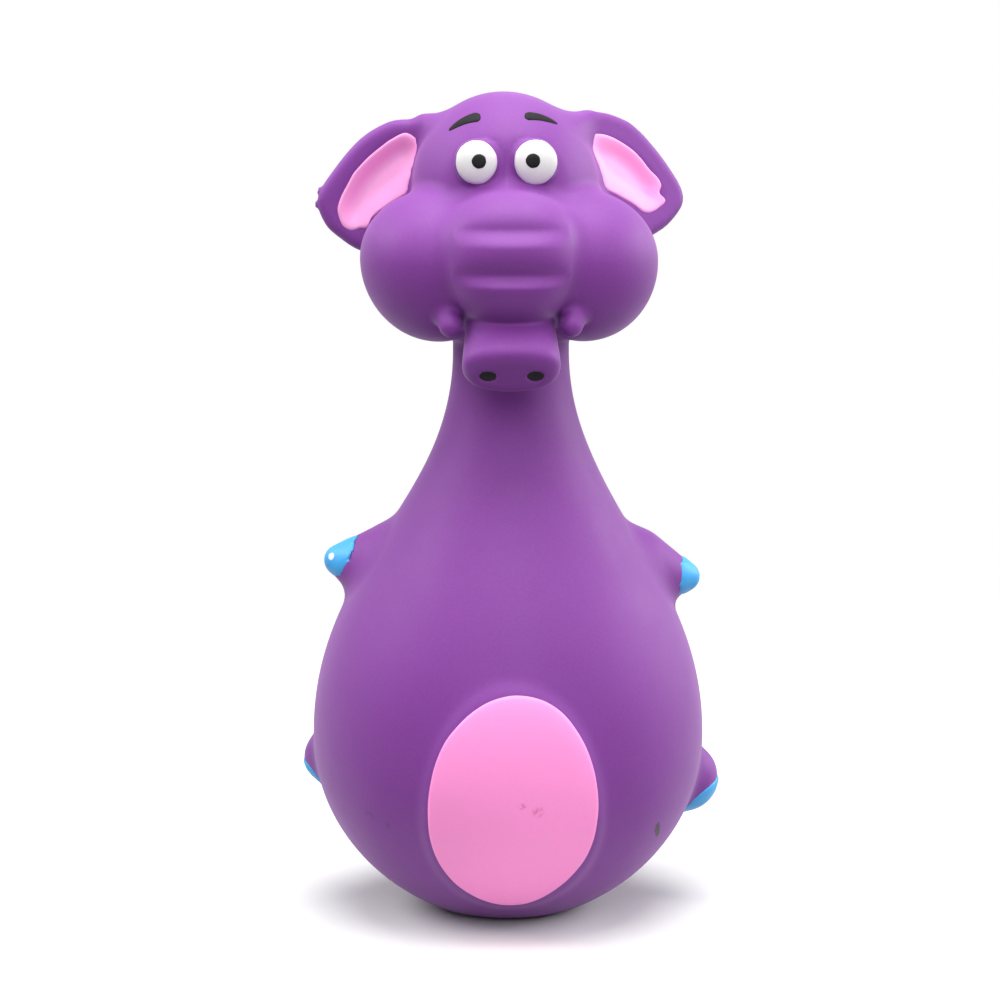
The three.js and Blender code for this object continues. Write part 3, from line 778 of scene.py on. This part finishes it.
def brushed(outline, seed, size):
    """An outline with the slight waver of a hand-painted edge."""
    turns = np.linspace(0, 2 * math.pi, len(outline), endpoint=False)
    random = np.random.default_rng(seed)
    waver = sum(size / k ** WAVE_FALL * np.sin(k * turns + random.uniform(0, 2 * math.pi)) for k in WAVES)
    middle = outline.mean(0)
    spokes = outline - middle
    return middle + spokes * (1 + waver / np.linalg.norm(spokes, axis=1))[:, None]


def oval(centre, half_width, half_height, count=64):
    turns = np.linspace(0, 2 * math.pi, count, endpoint=False)
    return np.column_stack([centre[0] + half_width * np.cos(turns), centre[1] + half_height * np.sin(turns)])


def from_front(tree, flat):
    """Points drawn as (x, z), carried straight back onto the skin."""
    starts = np.column_stack([flat[:, 0], np.full(len(flat), FRONT_START), flat[:, 1]])
    return on_skin(tree, starts, (0, 1, 0))


def front_layer(name, tree, outline, rings, lift=0.0):
    """Paint drawn as seen from the front: outline points are (x, z)."""
    flat, faces, inward = disc(outline, rings)
    return layer(name, from_front(tree, flat), faces, inward, lift)


def brow_outline(inner, outer_end, arch, thickness, steps=18):
    """A stroke that is thick at its inner end and pointed at its outer one."""
    t = np.linspace(0, 1, steps)[:, None]
    inner, outer_end = np.array(inner), np.array(outer_end)
    middle = (inner + outer_end) / 2 + (0, arch)
    line = (1 - t) ** 2 * inner + 2 * t * (1 - t) * middle + t ** 2 * outer_end
    half = thickness / 2 * np.sqrt(np.clip(1 - t, 0, 1)) * np.minimum(1, BROW_START_SHARE + BROW_GROWTH * t)
    square = np.gradient(line, axis=0)
    square = np.column_stack([-square[:, 1], square[:, 0]]) / np.linalg.norm(square, axis=1)[:, None]
    return line, square, half


def brow_layer(name, tree, inner, outer_end, arch, thickness):
    line, square, half = brow_outline(inner, outer_end, arch, thickness)
    across = np.linspace(-1, 1, BROW_ROWS)
    flat = np.vstack([line + square * half * a for a in across])
    inward = np.concatenate([(1 - abs(a)) * half[:, 0] for a in across])
    along = len(line)
    ends = np.arange(len(flat)) % along
    inward = np.where((ends == 0) | (ends == along - 1), 0, inward)
    faces = [[r * along + i, r * along + i + 1, (r + 1) * along + i + 1, (r + 1) * along + i]
             for r in range(len(across) - 1) for i in range(along - 1)]
    return layer(name, from_front(tree, flat), faces, inward)


def hoof_layer(name, tree, limb, axis, edge, number):
    """Paint over the end of a limb, out to an angle from an axis through its end ball."""
    _, centre, _, radius = LIMBS[limb]
    axis = np.array(axis) / np.linalg.norm(axis)
    side = np.cross(axis, (0, 1, 0))
    side /= np.linalg.norm(side)
    up = np.cross(axis, side)
    arc = math.radians(edge) * radius
    seed, waver = BRUSH["hoof"]
    flat, faces, inward = disc(brushed(oval((0, 0), arc, arc), seed + number, waver), RINGS["hoof"])
    length = np.linalg.norm(flat, axis=1)
    spoke = flat / np.maximum(length, TINY)[:, None]
    angle = (length / radius)[:, None]
    ways = np.cos(angle) * axis + np.sin(angle) * (spoke[:, :1] * side + spoke[:, 1:] * up)
    return layer(name, on_skin(tree, centre + (radius + HOOF_START) * ways, -ways), faces, inward)


# Materials

def linear(red, green, blue):
    """A screen colour, 0 to 255, as linear light."""
    return tuple(((c / 255 + 0.055) / 1.055) ** 2.4 for c in (red, green, blue)) + (1.0,)


PURPLE = linear(114, 46, 135)
PINK = linear(255, 148, 214)
EAR_PINK = linear(236, 157, 210)
# Painted shade: the deeper pink laid along the ear dish's shaded wall
SHADED_DISH_PINK = linear(244, 140, 206)
WHITE = linear(220, 219, 218)
BLACK = linear(12, 10, 13)
BLUE = linear(58, 156, 218)
THIN_PINK = linear(250, 150, 212)
THIN_EAR_PINK = linear(238, 164, 214)
THIN_WHITE = linear(216, 213, 216)
THIN_BLACK = linear(22, 17, 26)
THIN_BLUE = linear(62, 162, 224)
SMUDGE_PINK = linear(228, 118, 178)
SHEEN = linear(235, 205, 245)
PLASTIC = linear(232, 230, 222)
FILM = linear(214, 208, 190)

# Marks that handling has left, and a white spot on the left hoof: a place on the toy and the mark's radius; a
# nick is a row of such marks
SCUFFS = (((-28.5, -26.1, 26), 1.6), ((-24.9, -28.8, 24.2), 1.2))
NICK = (((29.6, -22.7, 22.7), 0.9), ((29.7, -22.1, 21.8), 1.1), ((29.9, -21.4, 20.9), 1),
        ((30, -20.6, 20.1), 0.8))
SMUDGES = (((1.9, -40.6, 31.1), 1), ((4.9, -40.3, 29.9), 1.6))
# A white spot on the left hand's hoof
WHITE_SPOT = ((-37, 1.6, 74.2), 1.1)
SCUFF_SHADE = 0.74

# The full-strength core of a mark, as a share of its radius; a blot is also broken up by a grain
NICK_CORE = 0.6
WHITE_SPOT_CORE = 0.75
BLOT_CORE = 0.35
BLOT_GRAIN = 0.7
BLOT_EDGE = (0.42, 0.56)


class Shader:
    """Short calls for building a node material."""

    def __init__(self, name, roughness, specular, bends=True):
        self.material = bpy.data.materials.new(name)
        self.material.use_nodes = True
        self.tree = self.material.node_tree
        self.surface = self.tree.nodes["Principled BSDF"]
        self.set(self.surface, {"Roughness": roughness, "Specular IOR Level": specular})
        if bends:
            self.place = self.add("ShaderNodeAttribute", attribute_name=REST_PLACE).outputs["Vector"]
        else:
            self.place = self.add("ShaderNodeTexCoord").outputs["Object"]

    def add(self, kind, **settings):
        node = self.tree.nodes.new(kind)
        for key, value in settings.items():
            setattr(node, key, value)
        return node

    def set(self, node, values):
        for key, value in values.items():
            node.inputs[key].default_value = value

    def link(self, output, target):
        self.tree.links.new(output, target)

    def noise(self, size, detail=4.0, rough=0.55):
        node = self.add("ShaderNodeTexNoise")
        self.set(node, {"Scale": 1 / (size * MM), "Detail": detail, "Roughness": rough})
        self.link(self.place, node.inputs["Vector"])
        return node.outputs["Fac"]

    def ramp(self, value, low, high, first=0.0, last=1.0):
        node = self.add("ShaderNodeMapRange", interpolation_type="SMOOTHSTEP")
        self.link(value, node.inputs["Value"])
        self.set(node, {"From Min": low, "From Max": high, "To Min": first, "To Max": last})
        return node.outputs["Result"]

    def mix(self, share, first, second):
        node = self.add("ShaderNodeMix", data_type="RGBA")
        for key, value in (("Factor", share), ("A", first), ("B", second)):
            if isinstance(value, (tuple, float)):
                node.inputs[key].default_value = value
            else:
                self.link(value, node.inputs[key])
        return node.outputs["Result"]

    def times(self, first, second):
        node = self.add("ShaderNodeMath", operation="MULTIPLY")
        self.link(first, node.inputs[0])
        self.link(second, node.inputs[1])
        return node.outputs["Value"]

    def bump(self, height, strength, distance):
        node = self.add("ShaderNodeBump")
        self.set(node, {"Strength": strength, "Distance": distance * MM})
        self.link(height, node.inputs["Height"])
        self.link(node.outputs["Normal"], self.surface.inputs["Normal"])

    def around(self, spot, radius, core):
        """1 at a spot on the toy, in millimetres, and in its core, falling to 0 at its radius."""
        gap = self.add("ShaderNodeVectorMath", operation="DISTANCE")
        self.link(self.place, gap.inputs[0])
        gap.inputs[1].default_value = [c * MM for c in spot]
        return self.ramp(gap.outputs["Value"], radius * MM, core * radius * MM)

    def near(self, spot, radius):
        """A blot round a spot, with a ragged edge."""
        blot = self.around(spot, radius, BLOT_CORE)
        return self.times(blot, self.ramp(self.noise(radius * BLOT_GRAIN), *BLOT_EDGE))


def shade(colour, share):
    """A colour made darker, or lighter where the share is above 1."""
    return tuple(c * share for c in colour[:3]) + (1.0,)


def finished(shader, tone):
    shader.link(tone, shader.surface.inputs["Base Color"])
    return shader.material


def latex_material():
    shader = Shader("purple_latex", roughness=0.58, specular=0.34)
    mottle = shader.mix(shader.ramp(shader.noise(16), 0.35, 0.65), shade(PURPLE, 0.98), shade(PURPLE, 1.02))
    grain = shader.mix(shader.ramp(shader.noise(0.5, 2), 0.3, 0.7), shade(PURPLE, 0.9), shade(PURPLE, 1.08))
    colour = shader.mix(0.5, mottle, grain)
    for spot, radius in SCUFFS:
        colour = shader.mix(shader.near(spot, radius), colour, shade(PURPLE, SCUFF_SHADE))
    for spot, radius in NICK:
        colour = shader.mix(shader.around(spot, radius, NICK_CORE), colour, BLACK)
    shader.link(shader.ramp(shader.noise(6), 0.3, 0.7, 0.56, 0.6), shader.surface.inputs["Roughness"])
    shader.set(shader.surface, {"Sheen Weight": 0.2, "Sheen Roughness": 0.5, "Sheen Tint": SHEEN})
    shader.bump(shader.noise(0.6, 3), strength=0.12, distance=0.12)
    return finished(shader, colour)


def paint_material(name, colour, roughness, thin, thin_share, specular=0.42):
    """Brushed-on paint: cloudy where it is thin, with a fine grain; gives the shader and its colour."""
    shader = Shader(name, roughness, specular)
    cloud = shader.ramp(shader.noise(5), 0.35, 0.7, 0.0, thin_share)
    tone = shader.mix(cloud, colour, thin)
    grain = shader.ramp(shader.noise(0.45, 2), 0.35, 0.7, 0.0, 0.16)
    tone = shader.mix(grain, tone, shade(colour, 0.84))
    shader.link(shader.ramp(shader.noise(3), 0.3, 0.7, roughness - 0.06, roughness + 0.06),
                shader.surface.inputs["Roughness"])
    shader.bump(shader.noise(0.7, 3), strength=0.14, distance=0.12)
    return shader, tone


def belly_material():
    shader, tone = paint_material("pink_paint", PINK, 0.52, THIN_PINK, thin_share=0.4)
    for spot, radius in SMUDGES:
        tone = shader.mix(shader.near(spot, radius), tone, SMUDGE_PINK)
    return finished(shader, tone)


def ear_material():
    """Painted shade: the paint is pinker in the deep of the dish, along its shaded outer, upper wall."""
    shader, tone = paint_material("ear_paint", EAR_PINK, 0.52, THIN_EAR_PINK, thin_share=0.4)
    # The share of painted shade, strongest along the dish's outer, upper wall
    deep = shader.add("ShaderNodeAttribute", attribute_name=PAINTED_DISH_SHADE).outputs["Fac"]
    return finished(shader, shader.mix(deep, tone, SHADED_DISH_PINK))


def hoof_material():
    shader, tone = paint_material("blue_paint", BLUE, 0.48, THIN_BLUE, thin_share=0.35)
    # A white spot on the left hoof's blue
    spot, radius = WHITE_SPOT
    return finished(shader, shader.mix(shader.around(spot, radius, WHITE_SPOT_CORE), tone, WHITE))


def plastic_material(name, colour, roughness):
    shader = Shader(name, roughness, specular=0.5, bends=False)
    tone = shader.mix(shader.ramp(shader.noise(2.5), 0.35, 0.65), shade(colour, 0.93), colour)
    shader.bump(shader.noise(0.35, 2), strength=0.08, distance=0.05)
    return finished(shader, tone)


def paint_all():
    return {
        "purple_latex": latex_material(),
        "pink_paint": belly_material(),
        "ear_paint": ear_material(),
        "white_paint": finished(*paint_material("white_paint", WHITE, 0.42, THIN_WHITE, thin_share=0.3)),
        "black_paint": finished(*paint_material("black_paint", BLACK, 0.7, THIN_BLACK, 0.3, specular=0.2)),
        "blue_paint": hoof_material(),
        "squeaker_plastic": plastic_material("squeaker_plastic", PLASTIC, roughness=0.4),
        "reed_film": plastic_material("reed_film", FILM, roughness=0.34),
    }


MATERIALS = paint_all()


def dress(obj, slot, material=None):
    obj.data.materials.clear()
    obj.data.materials.append(MATERIALS[material or slot])


def dress_sculpted(obj, slot, material=None):
    """Its material keeps to the places that the vertices have at rest, so marks move with the skin."""
    places = np.array([vertex.co for vertex in obj.data.vertices], np.float32)
    kept = obj.data.attributes.new(REST_PLACE, "FLOAT_VECTOR", "POINT")
    kept.data.foreach_set("vector", places.ravel())
    dress(obj, slot, material)


# The skin's pieces


def bend_with_ear(obj, ear):
    start = ear.fold_point(EAR_MIDDLE[0])
    end = start + ear.across_fold / np.linalg.norm(ear.across_fold) * EAR_FOLD_LENGTH
    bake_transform(obj)


def dent_with_belly(obj):
    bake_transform(obj)


def build_skin():
    vertices, faces = sculpt()
    middles = np.array([vertices[face].mean(0) for face in faces])
    piece = np.where(middles[:, 2] < PART_HEIGHT, 0, 1)
    for number, ear in enumerate(EAR_FRAMES.values(), 2):
        piece[on_ear(ear, middles) & (ear.beyond_fold(middles) > 0)] = number
    chosen = [[face for face, p in zip(faces, piece) if p == number] for number in range(4)]

    body = piece_of_skin("body_and_limbs", vertices, chosen[0])
    dent_with_belly(body)
    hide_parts("body_skin", "belly_panel", "arm_left", "arm_right", "leg_left", "leg_right")
    dress_sculpted(body, "purple_latex")

    head = piece_of_skin("head_and_trunk", vertices, chosen[1])
    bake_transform(head)
    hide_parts("head_skin", "trunk")
    dress_sculpted(head, "purple_latex")

    for (name, ear), part in zip(EAR_FRAMES.items(), chosen[2:]):
        flap = piece_of_skin("ear_flap_" + name, vertices, part)
        bend_with_ear(flap, ear)
        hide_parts("ear_" + name)
        dress_sculpted(flap, "purple_latex")
    return BVHTree.FromPolygons([Vector(v) for v in vertices], faces)


# The paint's pieces: places on the face are (x, z), as seen from the front

# Eyes: middle, half width, half height; pupils: middle; brows: inner end, outer end, arch, thickness
EYE_PAINT = {"left": ((5.08, 156.5), 4.3, 4.5), "right": ((-6.69, 156.5), 4.15, 4.4)}
PUPIL_PAINT = {"left": (4.53, 156.85), "right": (-6.23, 156.75)}
PUPIL_RADIUS = 1.45
BROW_PAINT = {
    "left": ((2.9, 165.3), (10, 163.5), 1.1, 1.95),
    "right": ((-5.6, 165.2), (-12.3, 162.2), 1.3, 2.25),
}

# Hooves: the limb, the direction of the paint's middle, and the angle from there to its edge
HOOF_PAINT = {
    "hand_hoof_left": ("arm_left", (0.96, -0.1, -0.02), 98),
    "hand_hoof_right": ("arm_right", (-0.86, -0.2, 0.48), 94),
    "foot_hoof_left": ("leg_left", (0.62, -0.1, -0.78), 52),
    "foot_hoof_right": ("leg_right", (-0.66, -0.05, -0.75), 43),
}


def finish_paint(obj, body, node, slot):
    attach(obj, body)
    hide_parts(node)
    dress_sculpted(obj, slot)


def paint_eye(tree, name):
    outline = brushed(oval(*EYE_PAINT[name]), *BRUSH["eye"])
    white = front_layer("eye_paint_" + name, tree, outline, RINGS["eye"])
    finish_paint(white, "head", "eye_white_" + name, "white_paint")


def paint_pupil(tree, name):
    outline = brushed(oval(PUPIL_PAINT[name], PUPIL_RADIUS, PUPIL_RADIUS, SMALL_OVAL), *BRUSH["pupil"])
    dot = front_layer("pupil_paint_" + name, tree, outline, RINGS["pupil"], PAINT)
    finish_paint(dot, "head", "pupil_" + name, "black_paint")


def paint_brow(tree, name):
    stroke = brow_layer("brow_paint_" + name, tree, *BROW_PAINT[name])
    finish_paint(stroke, "head", "brow_" + name, "black_paint")


def paint_nostril(tree, name):
    outline = oval((SIDES[name] * NOSTRIL_ACROSS, -NOSTRIL_DROP), *NOSTRIL_RADII, SMALL_OVAL)
    flat, faces, inward = disc(outline, RINGS["nostril"])
    starts = TIP_FACE + NOSTRIL_START * TIP_FORWARD + flat[:, :1] * (1, 0, 0) + flat[:, 1:] * TIP_UP
    hole = layer("nostril_paint_" + name, on_skin(tree, starts, -TIP_FORWARD), faces, inward)
    finish_paint(hole, "head", "nostril_" + name, "black_paint")


def paint_face(tree):
    for name in SIDES:
        paint_eye(tree, name)
        paint_pupil(tree, name)
        paint_brow(tree, name)
        paint_nostril(tree, name)


def mark_painted_shade(lining, ear):
    """Marks a band of painted shade that runs along the dish's outer, upper wall, just inside the paint's
    edge.
    """
    points = np.array([vertex.co for vertex in lining.data.vertices]) / MM
    along, out, _ = ear.local(points)
    inside = -polygon_distance(along, out, ear.lining)
    band = np.exp(-((inside - SHADE_BAND_INSIDE) / SHADE_BAND_REACH) ** 2)
    outward = smooth_step(share_of(out - DISH_TILT * along, DISH_SPAN))
    painted_band = lining.data.attributes.new(PAINTED_DISH_SHADE, "FLOAT", "POINT")
    painted_band.data.foreach_set("value", (band * outward).astype(np.float32))


def beside_head(tree, ear, outline):
    """An outline drawn in, where the head covers it, to where a line from the front still meets the ear."""
    middle = outline.mean(0)
    kept = []
    for corner in outline:
        for share in np.linspace(1, 0, DRAW_IN_STEPS):
            spot = middle + share * (corner - middle)
            hit = tree.ray_cast(Vector(ear.world(*spot, EAR_START)), Vector(-ear.front))[0]
            if hit is not None and (np.array(hit) - ear.top) @ ear.front < EAR_THICKNESS / 2:
                break
        kept.append(spot)
    return np.array(kept)


def paint_ears(tree):
    for name, ear in EAR_FRAMES.items():
        outline = brushed(ear.lining, *BRUSH["ear"])
        flat, faces, inward = disc(beside_head(tree, ear, outline), RINGS["ear"])
        starts = ear.world(flat[:, 0], flat[:, 1], np.full(len(flat), EAR_START))
        lining = layer("ear_paint_" + name, on_skin(tree, starts, -ear.front), faces, inward)
        # Painted shade along the dish's wall, stored as a share on the ear paint
        mark_painted_shade(lining, ear)
        bend_with_ear(lining, ear)
        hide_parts("ear_lining_" + name)
        dress_sculpted(lining, "pink_paint", "ear_paint")


def paint_body(tree):
    outline = brushed(evened(closed_curve(PATCH, PATCH_STEPS), PATCH_EVENING), *BRUSH["belly"])
    egg = front_layer("belly_paint", tree, outline, RINGS["belly"])
    dent_with_belly(egg)
    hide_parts("belly_patch")
    dress_sculpted(egg, "pink_paint")
    for number, (node, (limb, axis, edge)) in enumerate(HOOF_PAINT.items()):
        hoof = hoof_layer(node + "_paint", tree, limb, axis, edge, number)
        finish_paint(hoof, "body", node, "blue_paint")


def dress_squeaker():
    for node in ("squeaker_housing", "reed_bed", "reed_wedge"):
        dress(frame["nodes"][node], "squeaker_plastic")
    dress(frame["nodes"]["reed"], "reed_film")


# Studio: a pale floor that fades to white, soft light from above, and the camera

CAMERA_DISTANCE = 700
CAMERA_TARGET = (0, 0, 86)
CAMERA_RISE = 9
CAMERA_TURN = 1.5
FOCAL_PIXELS = 3388
PICTURE = 1000
AXIS_PIXEL = 508
SENSOR = 36
CLIP_START = 50

# Lamps, in metres and watts: place, size and power, all turned to one target
LAMP_TARGET = (0, 0, 0.08)
LAMPS = {
    "overhead": ((0.05, -0.05, 1), 0.9, 14),
    "front": ((0, -0.78, 0.7), 0.9, 6.4),
    "left_side": ((-0.8, 0.05, 0.7), 0.6, 6.7),
    "right_side": ((0.9, 0.3, 0.45), 0.6, 6.5),
    "left_front": ((-0.8, -0.5, 0.55), 0.5, 0.7),
    "right_front": ((0.8, -0.5, 0.5), 0.5, 2.7),
}
WORLD_LIGHT = 0.06

# Floor, in metres from the toy: its tone to the camera, its bounce near and far, and its fade to white
FLOOR_SIZE = 6
FLOOR_SIDES = 96
FLOOR_SEEN = (0.71, 0.71, 0.71, 1)
FLOOR_NEAR = 0.6
FLOOR_FAR = 0.16
FLOOR_START = 0.03
NEAR_END = 0.1
FADE_START = 0.14
FADE_END = 0.42


def add_camera():
    data = bpy.data.cameras.new("camera")
    data.sensor_width = SENSOR
    data.lens = SENSOR * FOCAL_PIXELS / PICTURE
    data.shift_x = (PICTURE / 2 - AXIS_PIXEL) / PICTURE
    data.clip_start = CLIP_START * MM
    camera = add_object("camera", data)
    rise, turn = math.radians(CAMERA_RISE), math.radians(CAMERA_TURN)
    away = Vector((-math.sin(turn) * math.cos(rise), -math.cos(turn) * math.cos(rise), math.sin(rise)))
    camera.location = (Vector(CAMERA_TARGET) + CAMERA_DISTANCE * away) * MM
    camera.rotation_euler = away.to_track_quat("Z", "Y").to_euler()
    bpy.context.scene.camera = camera


def add_lamp(name, place, size, power):
    data = bpy.data.lights.new(name, "AREA")
    data.shape = "DISK"
    data.size = size
    data.energy = power
    lamp = add_object(name, data)
    lamp.location = place
    lamp.rotation_euler = (Vector(place) - Vector(LAMP_TARGET)).to_track_quat("Z", "Y").to_euler()


def seen_ray(tree):
    """1 for a ray from the camera, direct or by way of a gloss or a clear piece."""
    path = tree.nodes.new("ShaderNodeLightPath")
    seen = path.outputs["Is Camera Ray"]
    for kind in ("Is Glossy Ray", "Is Transmission Ray"):
        either = tree.nodes.new("ShaderNodeMath")
        either.operation = "MAXIMUM"
        tree.links.new(seen, either.inputs[0])
        tree.links.new(path.outputs[kind], either.inputs[1])
        seen = either.outputs["Value"]
    return seen


def add_world():
    """White to the camera and in reflections, a softer white as light."""
    world = bpy.data.worlds.new("studio")
    bpy.context.scene.world = world
    world.use_nodes = True
    nodes, links = world.node_tree.nodes, world.node_tree.links
    background = nodes["Background"]
    background.inputs["Color"].default_value = (1, 1, 1, 1)
    level = nodes.new("ShaderNodeMapRange")
    level.inputs["To Min"].default_value = WORLD_LIGHT
    links.new(seen_ray(world.node_tree), level.inputs["Value"])
    links.new(level.outputs["Result"], background.inputs["Strength"])


def add_floor():
    """Pale to the camera, white further off; it throws light up mainly from close to the toy."""
    bpy.ops.mesh.primitive_circle_add(vertices=FLOOR_SIDES, radius=FLOOR_SIZE, fill_type="NGON")
    floor = bpy.context.object
    floor.name = "floor"
    shader = Shader("floor", roughness=0.9, specular=0.2, bends=False)
    away = shader.add("ShaderNodeVectorMath", operation="LENGTH")
    shader.link(shader.place, away.inputs[0])
    seen = seen_ray(shader.tree)
    bounce = shader.ramp(away.outputs["Value"], FLOOR_START, NEAR_END, FLOOR_NEAR, FLOOR_FAR)
    shader.link(shader.mix(seen, bounce, FLOOR_SEEN), shader.surface.inputs["Base Color"])
    glow = shader.add("ShaderNodeEmission")
    blend = shader.add("ShaderNodeMixShader")
    fade = shader.times(shader.ramp(away.outputs["Value"], FADE_START, FADE_END), seen)
    shader.link(fade, blend.inputs["Fac"])
    shader.link(shader.surface.outputs["BSDF"], blend.inputs[1])
    shader.link(glow.outputs["Emission"], blend.inputs[2])
    shader.link(blend.outputs["Shader"], shader.tree.nodes["Material Output"].inputs["Surface"])
    floor.data.materials.append(shader.material)


add_camera()
skin_tree = build_skin()
paint_face(skin_tree)
paint_ears(skin_tree)
paint_body(skin_tree)
dress_squeaker()

add_world()
add_floor()
for lamp, (place, size, power) in LAMPS.items():
    add_lamp(lamp, place, size, power)
bpy.context.scene.view_settings.view_transform = "Standard"
